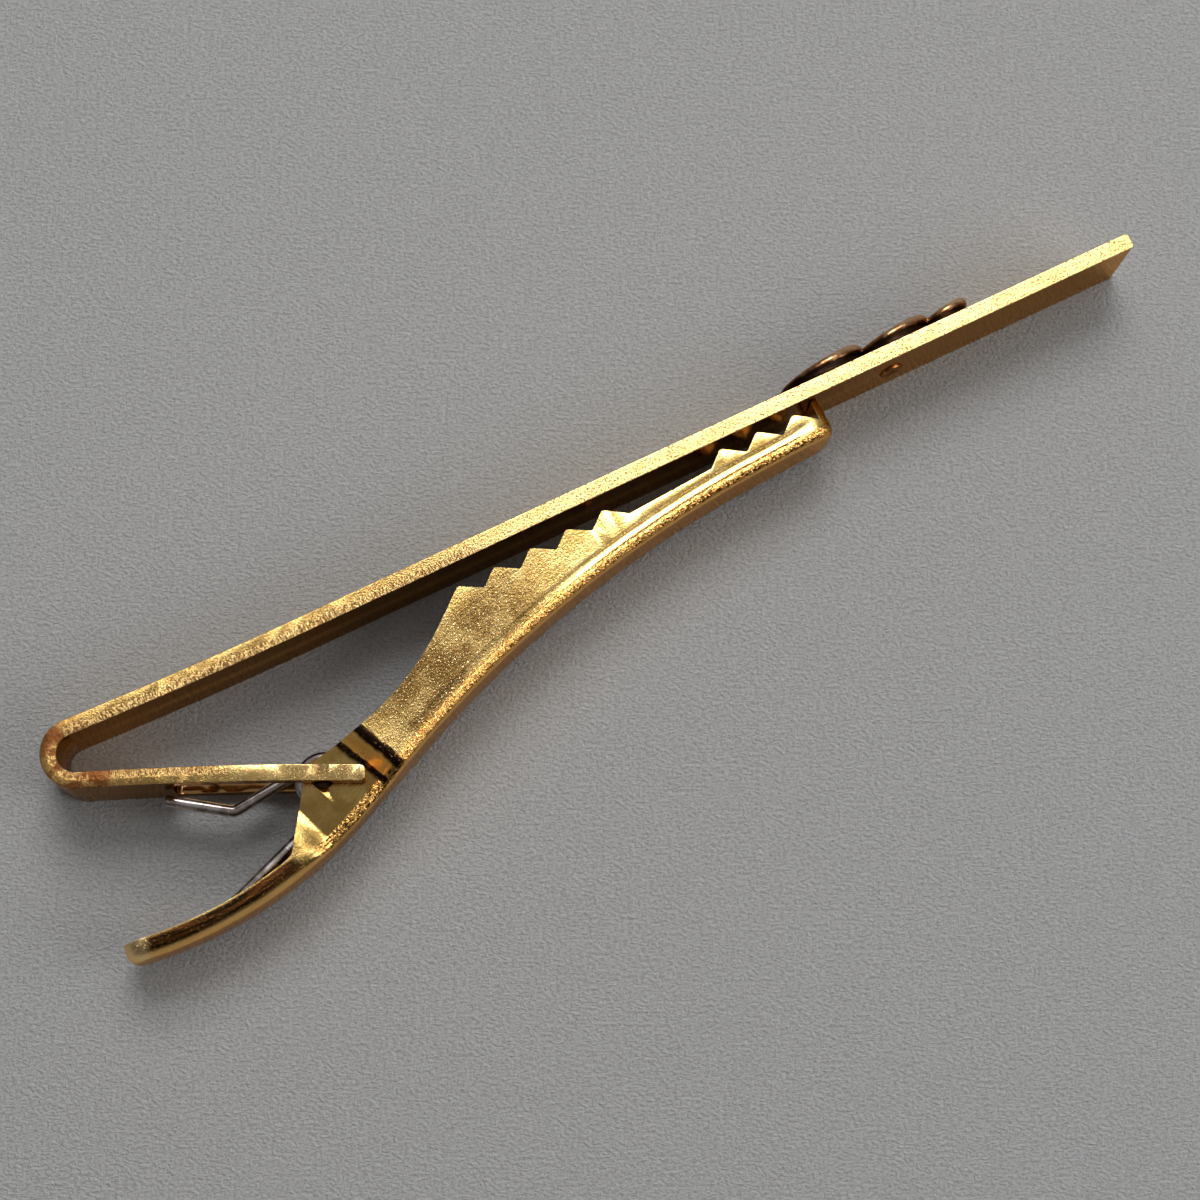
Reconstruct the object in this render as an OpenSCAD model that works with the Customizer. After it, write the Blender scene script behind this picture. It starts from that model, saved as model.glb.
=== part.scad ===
// Tie clip with a sprung toothed jaw, lying on its side edge.
// X runs along the bar from the hairpin bend to the tip, Y points out of the
// decorated front face, and Z runs across the width of the strip.
// The jaw is drawn closed.

/* [Front bar] */
// Overall length of the clip, from the outside of the bend to the tip
bar_l = 60.5; // [50:0.5:75]
// Width of the strip
bar_w = 5; // [4.4:0.1:7]
// Thickness of the strip
strip_t = 0.8; // [0.7:0.05:1]
// Length of the slightly bowed stretch next to the bend
bow_l = 12.4; // [8:0.1:16]
// How far the bowed stretch has drifted forward at the bend
bow_rise = 0.3; // [0.1:0.05:0.5]

/* [Bend and forked arm] */
// Inside radius of the hairpin bend
bend_r = 0.93; // [0.6:0.01:1.2]
// Angle between bar and arm where the arm leaves the bend
arm_a = 22; // [18:0.5:25]
// Length of the arm without its rounded end
arm_l = 13.6; // [13:0.1:14.9]
// How much further the arm turns away over its length, in degrees
arm_turn_a = 4.1; // [1:0.1:6]
// Distance from the bend to the slot between the prongs
slot_start = 4.4; // [2:0.1:6]
// Width of the slot between the prongs
slot_w = 3.1; // [3.1:0.05:3.3]

/* [Hinge] */
// Distance of the pin from the arm's rounded end
pin_from_end = 1.8; // [1.6:0.1:2]
// Offset of the pin towards the outer face of the arm
pin_drop = 0.15; // [0:0.01:0.17]
// Diameter of the pin between the prongs
pin_d = 1.04; // [0.8:0.02:1.2]
// Diameter of the turned-down ends of the pin
pin_end_d = 0.34; // [0.2:0.02:0.36]
// Depth of each end of the pin in its prong
pin_end_l = 0.55; // [0.3:0.05:0.7]
// Radial clearance of the pin's ends in the prongs
pin_end_fit = 0.01; // [0.01:0.01:0.02]
// Radial clearance of the running fits
run_fit = 0.03; // [0.02:0.01:0.05]

/* [Lever] */
// Width of the lever over its two side walls
lever_w = 3.8; // [3.6:0.05:4]
// Thickness of the lever's sheet metal
sheet_t = 0.45; // [0.35:0.01:0.5]
// Outside radius between the back and the side walls
lever_corner_r = 0.65; // [0.6:0.05:1.2]
// Slope of the lever's back at the pin, against the bar
lever_a = 24.7; // [22:0.1:26]
// Distance from the pin to the outside of the lever's back
back_drop = 2.72; // [2.5:0.02:3.2]
// Length of the straight stretch of the back, from the pin to the jaw
back_straight_l = 4; // [3:0.1:5]
// Radius of the back along the finger tail
tail_r = 22.4; // [20:0.1:30]
// Height of the side walls along the finger tail
tail_h = 1; // [0.8:0.05:1.4]
// Distance of the tail's end behind the pin
tail_reach = 12.25; // [9:0.05:13]
// Distance of the jaw's front end from the pin
jaw_reach = 30.7; // [27:0.1:36]
// Distance from the bar to the outside of the back at the jaw's front end
nose_drop = 1.98; // [1.8:0.02:2.4]
// Where the jaw's bend has its middle, as a share of the jaw's reach
jaw_bend_share = 0.37; // [0.34:0.01:0.4]
// Radius on the two closed ends of the lever, seen onto its back
lever_end_r = 1.2; // [0.8:0.05:1.5]
// Radius between the back and the two closed ends
lever_nose_r = 0.55; // [0.5:0.05:0.7]
// Radius of the round ears about the pin
ear_r = 0.92; // [0.9:0.01:1.1]
// Slope of the ear's edge towards the tail
throat_a = 57; // [50:1:65]
// Radius where the ear's edge runs into the tail
throat_r = 0.9; // [0.5:0.1:1.2]
// Slope of the ear's edge towards the jaw
neck_a = 12; // [8:1:16]
// Length of the ear's straight edge towards the jaw
neck_l = 2.4; // [1.5:0.1:3]
// Slope of the side wall behind the first tooth
ramp_a = 40; // [32:1:44]
// Radius between the ear's edge and that slope
ramp_r = 14.5; // [8:0.5:16]

/* [Pinched waist] */
// Gap between each prong and the pinched side wall
waist_gap = 0.1; // [0.06:0.01:0.15]
// Distance from the pin to the jaw end of the flat pinched wall
waist_jaw = 1.6; // [1.5:0.05:2.6]
// Length of the slope out of the waist, on the jaw side
waist_jaw_slope = 1.5; // [0.8:0.1:1.8]
// Distance from the pin to the tail end of the flat pinched wall
waist_tail = 2; // [1.8:0.1:2.8]
// Length of the slope out of the waist, on the tail side
waist_tail_slope = 1.6; // [0.8:0.1:2]

/* [Teeth] */
// Number of teeth in the rear row
rear_n = 5; // [3:1:5]
// Number of teeth in the front row
front_n = 3; // [2:1:3]
// Distance between teeth
tooth_pitch = 2.03; // [1.6:0.01:2.1]
// Depth of the teeth
tooth_h = 0.7; // [0.4:0.05:0.8]
// Share of a tooth's pitch under its steep flank
tooth_steep_share = 0.37; // [0.2:0.01:0.5]
// Share of a tooth's pitch on its blunt tip
tooth_tip_share = 0.1; // [0.04:0.01:0.2]
// Distance from the pin to the last tip of the rear row
rear_last = 18.1; // [17.5:0.1:18.5]
// Gap between the bar and the last tip of the rear row
rear_gap = 0.67; // [0.5:0.01:1]
// Slope of the rear row against the bar
rear_a = 2.8; // [0:0.1:4]
// Gap between the bar and the front row
front_gap = 0.37; // [0.3:0.01:0.5]
// Gap between the bar and the lip at the front of the jaw
lip_gap = 0.08; // [0.05:0.01:0.15]

/* [Spring] */
// Diameter of the spring wire
wire_d = 0.5; // [0.35:0.01:0.52]
// Mean radius of the coil
coil_r = 1.17; // [1.1:0.01:1.25]
// Rise of the wire in one turn
coil_pitch = 0.95; // [0.93:0.01:0.98]
// Whole turns of the coil, beyond the part turn between the legs
coil_turns = 1; // [1:1:1]
// Slope of the leg that runs down the tail
tail_leg_a = 20; // [19:0.5:21]
// Length of the leg that runs down the tail
tail_leg_l = 7.9; // [6:0.1:8]
// Distance from the pin to the elbow of the other leg
elbow_back = 4.6; // [4.2:0.1:5]
// Height of the elbow above the pin
elbow_up = 0.68; // [0.4:0.02:0.8]
// Bending radius of the elbow
elbow_r = 0.5; // [0.3:0.05:0.8]
// Distance along the arm from the pin to the end of the leg on the arm
leg_back = 7.9; // [7.7:0.1:8.4]
// Gap between that end and the arm
leg_gap = 0.1; // [0.05:0.01:0.2]

/* [Ornament] */
// Distance of the ornament's stud past the jaw's front end
ornament_past_jaw = 4.26; // [4:0.02:8]
// Height of the beads above the bar
ornament_h = 1.15; // [1.1:0.05:1.4]
// Height of the large scroll's stroke
large_scroll_h = 1.05; // [0.9:0.01:1.05]
// Height of the middle scroll's stroke
middle_scroll_h = 0.98; // [0.9:0.01:1.05]
// Height of the small scroll's stroke
small_scroll_h = 0.91; // [0.85:0.01:1.05]
// Width of the scrolls' strokes
stroke_w = 1; // [0.8:0.05:1.1]
// Diameter of the bead at a scroll's end
bead_d = 1.3; // [1.2:0.05:1.4]
// Mean radius of the large scroll
large_scroll_r = 1.7; // [1.4:0.05:1.8]
// Mean radius of the middle scroll
middle_scroll_r = 1.3; // [1.1:0.05:1.5]
// Mean radius of the small scroll
small_scroll_r = 0.9; // [0.8:0.05:1.1]
// Distance from the stud to the middle of the large scroll
large_scroll_x = 3.5; // [3.2:0.05:3.7]
// Distance from the stud to the middle of the middle scroll
middle_scroll_x = 0.95; // [0.8:0.05:1.1]
// Distance from the stud to the middle of the small scroll
small_scroll_x = 3.65; // [3.4:0.05:3.8]
// Half of the large scroll's opening
large_open_a = 42; // [30:1:60]
// Opening of the middle scroll
middle_open_a = 32; // [25:1:40]
// Opening of the small scroll
small_open_a = 20; // [15:1:30]
// Height of the low bar that joins the scrolls
link_h = 0.7; // [0.5:0.05:0.8]
// Width of that bar
link_w = 0.7; // [0.5:0.05:0.9]
// Diameter of the stud through the bar
stud_d = 1; // [0.8:0.05:1.2]
// Diameter of the stud's hammered end
peen_d = 1.3; // [1.25:0.05:1.6]
// Height of the stud's hammered end
peen_h = 0.12; // [0.08:0.01:0.2]

/* [Hidden] */

// One overrun for every cut
cut = 0.5;
// One reach past the whole lever for its outlines
far = 20;

function polar(r, a) = [r * cos(a), r * sin(a)];
function turned(p, a) = [p.x * cos(a) - p.y * sin(a), p.x * sin(a) + p.y * cos(a)];
function arc(c, r, a0, a1, n) = [for (i = [0 : n]) c + polar(r, a0 + (a1 - a0) * i / n)];
// The same without its first point, to carry on from another arc's last point
function arc_on(c, r, a0, a1, n) = [for (i = [1 : n]) c + polar(r, a0 + (a1 - a0) * i / n)];
function even_steps(x0, x1, n) = [for (i = [1 : n]) x0 + (x1 - x0) * i / n];

// The bow: a shallow arc between the straight bar and the bend
bow_a = 2 * atan(bow_rise / bow_l);
bow_r = bow_l / sin(bow_a);
bow_end_x = bend_r + strip_t + bend_r * sin(bow_a);
bow_x = bow_end_x + bow_l;

// The bend and the arm
bend_c = [bend_r + strip_t, bow_rise - bend_r * cos(bow_a)];
bend_turn_a = 180 - arm_a + bow_a;
arm_start = bend_c + polar(bend_r, -arm_a - 90);
arm_r = arm_l / arm_turn_a * 180 / PI;
arm_c = arm_start + polar(arm_r, -arm_a - 90);
function arm_heading(s) = -arm_a - arm_turn_a * s / arm_l;
function arm_point(s, depth) = arm_c + polar(arm_r - depth, arm_heading(s) + 90);

// The folded strip seen from its edge: back face, bend, arm and round again
strip_outline = concat(
    arc([bow_x, bow_r], bow_r, -90, -90 - bow_a, 8),
    arc_on(bend_c, bend_r, 90 - bow_a, 270 - arm_a, 22),
    arc_on(arm_c, arm_r, 90 - arm_a, 90 - arm_a - arm_turn_a, 8),
    arc_on(arm_point(arm_l, strip_t / 2), strip_t / 2, arm_heading(arm_l) + 90, arm_heading(arm_l) - 90, 8),
    arc_on(arm_c, arm_r - strip_t, 90 - arm_a - arm_turn_a, 90 - arm_a, 8),
    arc_on(bend_c, bend_r + strip_t, 270 - arm_a, 90 - bow_a, 22),
    arc_on([bow_x, bow_r], bow_r - strip_t, -90 - bow_a, -90, 8),
    arc([bar_l - strip_t / 2, strip_t / 2], strip_t / 2, 90, -90, 8)
);

// The hinge axis
pin_along = arm_l - pin_from_end;
pin_at = arm_point(pin_along, strip_t / 2 + pin_drop);
bore_r = pin_d / 2 + run_fit;

// The lever's back, in a frame at the pin that is turned by lever_a
tail_c = [0, tail_r - back_drop];
tail_x = pin_at.x - tail_reach;
nose_x = pin_at.x + jaw_reach;
bend_half_l = jaw_reach * jaw_bend_share;
to_nose = [nose_x, -nose_drop] - pin_at - turned([back_straight_l + bend_half_l, -back_drop], lever_a);
jaw_end_a = atan2(to_nose.y, to_nose.x);
jaw_turn_a = lever_a - jaw_end_a;
jaw_r = bend_half_l / tan(jaw_turn_a / 2);
jaw_c = [back_straight_l, -back_drop - jaw_r];
tail_mid = pin_at + turned(tail_c, lever_a);
tail_turn_a = lever_a + asin((tail_mid.x - tail_x) / tail_r);
jaw_end = jaw_c + polar(jaw_r, 90 - jaw_turn_a);

// Lengths along the back, from the tail's end to the pin, the jaw and the nose
pin_s = tail_r * tail_turn_a * PI / 180;
jaw_s = pin_s + back_straight_l;
nose_s = jaw_s + jaw_r * jaw_turn_a * PI / 180;
back_l = nose_s + norm(to_nose) - bend_half_l;
function back_heading(s) =
    s < pin_s ? (s - pin_s) / tail_r * 180 / PI
    : -max(0, min(jaw_turn_a, (s - jaw_s) / jaw_r * 180 / PI));
function back_at(s) =
    s < pin_s ? tail_c + polar(tail_r, back_heading(s) - 90)
    : s < jaw_s ? [s - pin_s, -back_drop]
    : s < nose_s ? jaw_c + polar(jaw_r, back_heading(s) + 90)
    : jaw_end + polar(s - nose_s, -jaw_turn_a);

// Half width of the lever: pinched at the waist, rounded in at both ends
waist_w = slot_w - 2 * waist_gap;
waist_depth = (lever_w - waist_w) / 2;
waist_tail_s = pin_s - waist_tail;
waist_jaw_s = pin_s + waist_jaw;
function pinch_share(s) =
    let (
        from_tail = (s - waist_tail_s) / waist_tail_slope + 1,
        from_jaw = (waist_jaw_s - s) / waist_jaw_slope + 1
    )
    (1 - cos(180 * max(0, min(1, from_tail, from_jaw)))) / 2;
function end_dip(d, r) = d >= r ? 0 : r - sqrt(max(0, r * r - (r - d) * (r - d)));
function both_dips(s, r, inset) = end_dip(s - inset, r - inset) + end_dip(back_l - inset - s, r - inset);
function half_w(s, inset) =
    lever_w / 2 - inset - waist_depth * pinch_share(s) - both_dips(s, lever_end_r, inset);

// Places along the back where the lever's section is drawn
end_n = 4;
corner_n = 3;
corner_share = 0.9;
function end_steps(inset) =
    [for (i = [0 : end_n]) inset + (lever_end_r - inset) * (1 - cos(90 * i / end_n))];
function sections(inset) = concat(
    end_steps(inset),
    even_steps(lever_end_r, waist_tail_s - waist_tail_slope, 6),
    even_steps(waist_tail_s - waist_tail_slope, waist_tail_s, 6),
    even_steps(waist_tail_s, pin_s, 2),
    [waist_jaw_s],
    even_steps(waist_jaw_s, waist_jaw_s + waist_jaw_slope, 6),
    even_steps(waist_jaw_s + waist_jaw_slope, nose_s, 12),
    [for (i = [end_n : -1 : 0]) back_l - end_steps(inset)[i]]
);

// The section as a filled channel: depth from the outside of the back, and place across the width.
// With an inset it is the hollow of that channel.
wall_reach = 2 * lever_w;
function channel_ring(s, inset) =
    let (
        w = half_w(s, inset),
        d = inset + both_dips(s, lever_nose_r, inset),
        r = min(lever_corner_r - inset, w * corner_share),
        side = concat([[wall_reach, w]], [for (q = arc([d + r, w - r], r, 90, 180, corner_n)) q])
    )
    concat(side, [for (i = [len(side) - 1 : -1 : 0]) [side[i].x, -side[i].y]]);
function channel_rings(inset) = [
    for (s = sections(inset))
        [for (q = channel_ring(s, inset))
            concat(pin_at + turned(back_at(s) + polar(q.x, back_heading(s) + 90), lever_a), [q.y])]
];
lever_skin = channel_rings(0);

// The side walls' edge, in the frame of the bar
tail_edge_r = tail_r - tail_h;
throat_p = pin_at + polar(ear_r, throat_a + 90);
// Middle of the throat's rounding: off the ear's edge and off the tail's edge by throat_r
throat_off = (throat_p + polar(throat_r, throat_a + 90) - tail_mid);
throat_along = throat_off * polar(1, throat_a);
throat_side = throat_off * polar(1, throat_a + 90);
throat_mid = throat_p + polar(throat_r, throat_a + 90)
    - polar(throat_along + sqrt(pow(tail_edge_r - throat_r, 2) - pow(throat_side, 2)), throat_a);
throat_tail_a = atan2(throat_mid.y - tail_mid.y, throat_mid.x - tail_mid.x);
tail_tip_a = -90 - asin((tail_mid.x - tail_x + cut) / tail_edge_r);
neck_p = pin_at + polar(ear_r, neck_a + 90);
ramp_p = neck_p + polar(neck_l, neck_a);
ramp_c = ramp_p + polar(ramp_r, neck_a + 90);

// The teeth
steep_l = tooth_pitch * tooth_steep_share;
tip_l = tooth_pitch * tooth_tip_share;
gentle_l = tooth_pitch - steep_l - tip_l;
lip_x = nose_x - sheet_t - run_fit - back_drop * tan(jaw_end_a);
rear_tip = [pin_at.x + rear_last, -rear_gap];
front_tip = [lip_x - gentle_l - tip_l / 2, -front_gap];
function tooth_tip(last, a, i) = last - polar(i * tooth_pitch, a);
// Points of a row from the tip farthest back; the first steep flank is left to its neighbour
function tooth_row(last, a, n) = [
    for (i = [n - 1 : -1 : 0])
        let (tip = tooth_tip(last, a, i))
            each concat(
                i < n - 1 ? [tip + [-tip_l / 2 - steep_l, -tooth_h]] : [],
                [tip - [tip_l / 2, 0], tip + [tip_l / 2, 0]]),
    last + [tip_l / 2 + gentle_l, -tooth_h]
];
front_first = tooth_tip(front_tip, 0, front_n - 1);

// The spring
wire_r = wire_d / 2;
elbow = pin_at + [-elbow_back, elbow_up];
elbow_off = pin_at - elbow;
leg_a = atan2(elbow_off.y, elbow_off.x) + asin(coil_r / norm(elbow_off));
seat = arm_point(pin_along - leg_back, strip_t + leg_gap + wire_r);
seat_a = atan2(seat.y - elbow.y, seat.x - elbow.x);
coil_a = leg_a - (tail_leg_a + 180) + 360 + 360 * coil_turns;
coil_z = coil_pitch * coil_a / 360;
wire_sides = 6;
rings_a_turn = 24;
coil_rings = ceil(coil_a / 360 * rings_a_turn);
elbow_rings = 4;
elbow_turn_a = leg_a + 180 - seat_a;
elbow_cut = elbow_r * tan(elbow_turn_a / 2);
elbow_c = elbow + polar(elbow_cut, leg_a) + polar(elbow_r, leg_a + 90);

function on_level(points, z) = [for (p = points) [p.x, p.y, z]];
// The wire's middle line, from the end on the arm to the end in the tail
wire_line = concat(
    on_level([seat], -coil_z / 2),
    on_level([seat - polar(wire_d, seat_a)], -coil_z / 2),
    on_level(arc(elbow_c, elbow_r, seat_a + 90, leg_a + 270, elbow_rings), -coil_z / 2),
    [for (i = [0 : coil_rings])
        let (a = leg_a + 90 - coil_a * i / coil_rings)
            concat(pin_at + polar(coil_r, a), [coil_z * (i / coil_rings - 1 / 2)])],
    on_level([for (l = [tail_leg_l - wire_d, tail_leg_l])
        pin_at + polar(coil_r, tail_leg_a - 90) + polar(l, tail_leg_a + 180)], coil_z / 2)
);

// Distances between rings that are at least half a turn apart along the wire
wire_gaps = [
    for (i = [0 : len(wire_line) - 1], j = [i + rings_a_turn / 2 : len(wire_line) - 1])
        norm(wire_line[i] - wire_line[j]) - wire_d
];
echo(least_gap_of_the_wire_to_itself = min(wire_gaps));

// The ornament
stud_x = nose_x + ornament_past_jaw;
stud_hole_r = stud_d / 2 + run_fit;

// The origin is under the middle of the whole clip
x_mid = (bar_l + min([0, for (ring = lever_skin, p = ring) p.x])) / 2;
y_mid = (strip_t + ornament_h + min([for (ring = lever_skin, p = ring) p.y])) / 2;

$fn = 48;

module clip_bar() {
    color("goldenrod")
        difference() {
            translate([0, 0, -bar_w / 2])
                linear_extrude(bar_w)
                    polygon(strip_outline);
            // Slot between the prongs
            translate(arm_point(slot_start, strip_t / 2))
                rotate([0, 0, arm_heading(slot_start)])
                    translate([0, -strip_t - cut, -slot_w / 2])
                        cube([arm_l, 2 * strip_t + 2 * cut, slot_w]);
            // Blind holes for the pin's ends
            translate(concat(pin_at, [-slot_w / 2 - pin_end_l]))
                cylinder(r = pin_end_d / 2 + pin_end_fit, h = slot_w + 2 * pin_end_l);
            // Hole for the ornament's stud
            translate([stud_x, -cut, 0])
                rotate([-90, 0, 0])
                    cylinder(r = stud_hole_r, h = strip_t + 2 * cut);
        }
}

// Closed skin over rings of points that run clockwise as seen along the line of rings
module skin(rings) {
    m = len(rings[0]);
    last = (len(rings) - 1) * m;
    walls = [
        for (i = [0 : len(rings) - 2], k = [0 : m - 1])
            let (a = i * m, b = a + m, l = (k + 1) % m)
                each [[a + k, b + k, a + l], [b + k, b + l, a + l]]
    ];
    caps = [
        for (k = [1 : m - 2])
            each [[0, k, k + 1], [last, last + k + 1, last + k]]
    ];
    polyhedron([for (ring = rings) each ring], concat(walls, caps));
}

// Edge of the side walls with the teeth, closed well outside the lever's back
module wall_outline() {
    polygon(concat(
        arc(tail_mid, tail_edge_r, tail_tip_a, throat_tail_a, 14),
        arc_on(throat_mid, throat_r, throat_tail_a, throat_a - 90, 6),
        arc(pin_at, ear_r, throat_a + 90, neck_a + 90, 6),
        arc(ramp_c, ramp_r, neck_a - 90, ramp_a - 90, 8),
        tooth_row(rear_tip, rear_a, rear_n),
        [front_first + [-tip_l / 2 - steep_l, -tooth_h]],
        tooth_row(front_tip, 0, front_n),
        [[lip_x, -lip_gap],
            [nose_x + cut, -lip_gap],
            [nose_x + cut, -far],
            [tail_x - cut, -far]]
    ));
}

// One stamping: back, side walls, teeth, ears and pinched waist from the same sheet
module jaw_lever() {
    color("gold")
        difference() {
            intersection() {
                skin(lever_skin);
                translate([0, 0, -lever_w])
                    linear_extrude(2 * lever_w)
                        wall_outline();
            }
            skin(channel_rings(sheet_t));
            // Holes in the ears
            translate(concat(pin_at, [-lever_w]))
                cylinder(r = bore_r, h = 2 * lever_w);
        }
}

module pivot_pin() {
    shoulder_l = waist_w + waist_gap;
    end_l = pin_end_l - waist_gap;
    color("silver")
        translate(concat(pin_at, [0])) {
            cylinder(d = pin_d, h = shoulder_l, center = true);
            cylinder(d = pin_end_d, h = slot_w + 2 * end_l, center = true);
        }
}

// A tube of equal rings along a line of points, each ring halfway between its two neighbours
function tube_rings(line) =
    let (n = len(line))
    [
        for (i = [0 : n - 1])
            let (
                d = line[min(i + 1, n - 1)] - line[max(i - 1, 0)],
                along = d / norm(d),
                s = cross(along, [0, 0, 1]),
                side = s / norm(s),
                up = cross(side, along)
            )
                [for (k = [0 : wire_sides - 1])
                    let (a = 360 * k / wire_sides)
                        line[i] + wire_r * (cos(a) * side + sin(a) * up)]
    ];

module jaw_spring() {
    color("lightgray")
        skin(tube_rings(wire_line));
}

// Side of a stroke or a bead: straight up from the seat, then round to the top.
// It reaches below the seat by the overrun, so that one flat cut makes the seat.
function dome(d, h) = concat([[d / 2, -cut]], arc([0, h - d / 2], d / 2, 0, 90, 5));

// Part of a ring of the stroke's section, with a bead on both ends
module scroll(r, h, a0, a1) {
    side = dome(stroke_w, h);
    rotate([0, 0, a0])
        rotate_extrude(angle = a1 - a0)
            translate([r, 0])
                polygon(concat(side, [for (i = [len(side) - 2 : -1 : 0]) [-side[i].x, side[i].y]]));
    for (a = [a0, a1])
        translate(concat(polar(r, a), [0]))
            rotate_extrude()
                polygon(concat([[0, -cut]], dome(bead_d, ornament_h)));
}

// Seen from the front: three open scrolls in a row, cast in one piece with the stud
module ornament() {
    color("sienna")
        translate([stud_x, strip_t, 0])
            rotate([-90, 0, 0]) {
                difference() {
                    union() {
                        translate([-large_scroll_x, 0, 0])
                            scroll(large_scroll_r, large_scroll_h, large_open_a, 360 - large_open_a);
                        translate([middle_scroll_x, 0, 0])
                            scroll(middle_scroll_r, middle_scroll_h,
                                   middle_open_a - 180, 180 - 2 * middle_open_a);
                        translate([small_scroll_x, 0, 0])
                            scroll(small_scroll_r, small_scroll_h, -90 - small_open_a, 180 - small_open_a);
                        translate([-large_scroll_x - large_scroll_r, -link_w / 2, -cut])
                            cube([large_scroll_x + large_scroll_r + small_scroll_x, link_w, link_h + cut]);
                    }
                    translate([-bar_l / 2, -bar_w, -2 * cut])
                        cube([bar_l, 2 * bar_w, 2 * cut]);
                }
                translate([0, 0, -strip_t - peen_h / 2])
                    cylinder(d = stud_d, h = strip_t + peen_h / 2 + link_h / 2);
                translate([0, 0, -strip_t - peen_h])
                    cylinder(d = peen_d, h = peen_h);
            }
}

module placed() {
    translate([-x_mid, -y_mid, bar_w / 2])
        children();
}

placed() clip_bar();
placed() jaw_lever();
placed() pivot_pin();
placed() jaw_spring();
placed() ornament();
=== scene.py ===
# Tie clip with a sprung toothed jaw, dressed for a close-up on a pale tabletop
from math import asin, atan, atan2, cos, degrees, pi, radians, sin, sqrt, tan

import bmesh
import bpy
from mathutils import Matrix, Vector


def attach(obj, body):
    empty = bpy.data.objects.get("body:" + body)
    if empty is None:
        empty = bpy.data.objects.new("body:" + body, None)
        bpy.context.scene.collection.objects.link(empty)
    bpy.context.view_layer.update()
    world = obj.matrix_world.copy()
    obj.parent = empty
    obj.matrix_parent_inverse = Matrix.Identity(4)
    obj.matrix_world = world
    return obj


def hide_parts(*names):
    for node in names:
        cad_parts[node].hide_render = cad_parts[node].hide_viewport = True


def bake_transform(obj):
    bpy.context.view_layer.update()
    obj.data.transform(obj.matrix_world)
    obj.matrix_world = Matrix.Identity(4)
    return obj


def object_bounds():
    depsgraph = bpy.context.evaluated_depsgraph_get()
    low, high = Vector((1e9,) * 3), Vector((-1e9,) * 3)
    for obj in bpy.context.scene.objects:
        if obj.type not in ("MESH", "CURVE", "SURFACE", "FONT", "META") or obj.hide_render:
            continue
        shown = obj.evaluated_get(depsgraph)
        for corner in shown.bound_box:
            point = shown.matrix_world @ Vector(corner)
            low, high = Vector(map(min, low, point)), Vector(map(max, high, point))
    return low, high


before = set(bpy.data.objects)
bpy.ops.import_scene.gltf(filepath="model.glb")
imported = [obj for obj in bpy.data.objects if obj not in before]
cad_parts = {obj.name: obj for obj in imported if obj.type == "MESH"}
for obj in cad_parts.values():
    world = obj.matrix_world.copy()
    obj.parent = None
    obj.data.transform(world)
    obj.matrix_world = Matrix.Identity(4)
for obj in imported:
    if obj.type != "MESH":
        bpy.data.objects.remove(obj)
cadBounds = [list(corner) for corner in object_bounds()]
mm = 0.001
shift = Vector((-30.1449, 4.65733, 2.5))  # from the drawing's own origin to the frame's, in mm
pinAt = Vector((11.9409, -6.74443))  # hinge axis in the drawing, in mm
ontoPin = Matrix.Translation((*pinAt, 0))
leverAngle = 24.7  # between the closed jaw's straight and the bar


# plane geometry in the drawing, lengths in mm and angles in degrees
def heading(angle):
    return Vector((cos(radians(angle)), sin(radians(angle))))


def turned(point, angle):
    onward = heading(angle)
    return Vector((point[0] * onward[0] - point[1] * onward[1], point[0] * onward[1] + point[1] * onward[0]))


def arcPoints(centre, radius, start, end, steps, skipFirst=False):
    points = []
    for i in range(1 if skipFirst else 0, steps + 1):
        points.append(Vector(centre) + radius * heading(start + (end - start) * i / steps))
    return points


def rotation(angle, axis):
    return Matrix.Rotation(radians(angle), 4, axis)


def eased(value, low, high):
    t = max(0.0, min(1.0, (value - low) / (high - low)))
    return t * t * (3 - 2 * t)


# shop tools
def placed(name, data):
    made = bpy.data.objects.new(name, data)
    bpy.context.scene.collection.objects.link(made)
    return made


def asObject(bm, name):
    mesh = bpy.data.meshes.new(name)
    bm.to_mesh(mesh)
    bm.free()
    return placed(name, mesh)


# every piece is cut in millimetres and set down in metres at the end
def finishPiece(bm, name, body, material, replaced, smoothAngle=35, flow=None):
    if flow:
        layer = bm.verts.layers.float_vector.new("flow")
        for vert in bm.verts:
            vert[layer] = flow(vert.co)
    bmesh.ops.transform(bm, matrix=Matrix.Scale(mm, 4) @ Matrix.Translation(shift), verts=bm.verts)
    piece = asObject(bm, name)
    piece.data.materials.append(material)
    piece.data.shade_smooth()
    piece.data.set_sharp_from_angle(angle=radians(smoothAngle))
    if body:
        even = piece.modifiers.new("evenShading", "WEIGHTED_NORMAL")
        even.keep_sharp = True
        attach(piece, body)
    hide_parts(replaced)
    return piece


def prism(bm, outline, low, high):
    bottom = [bm.verts.new((point[0], point[1], low)) for point in outline]
    face = bm.faces.new(bottom)
    made = bmesh.ops.extrude_face_region(bm, geom=[face])
    top = [v for v in made["geom"] if isinstance(v, bmesh.types.BMVert)]
    bmesh.ops.translate(bm, vec=(0, 0, high - low), verts=top)
    bmesh.ops.recalc_face_normals(bm, faces=bm.faces)


def tool(shape, *values, lay=None):
    bm = bmesh.new()
    shape(bm, *values)
    if lay:
        bmesh.ops.transform(bm, matrix=lay, verts=bm.verts)
    return asObject(bm, "tool")


def applied(blank):
    bpy.context.view_layer.update()
    result = bpy.data.meshes.new_from_object(blank.evaluated_get(bpy.context.evaluated_depsgraph_get()))
    blank.modifiers.clear()
    old = blank.data
    blank.data = result
    bpy.data.meshes.remove(old)
    return blank


def booleaned(first, second, operation="DIFFERENCE"):
    cutter = first.modifiers.new("cut", "BOOLEAN")
    cutter.operation = operation
    cutter.solver = "EXACT"
    cutter.object = second
    applied(first)
    bpy.data.objects.remove(second)
    return first


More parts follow.
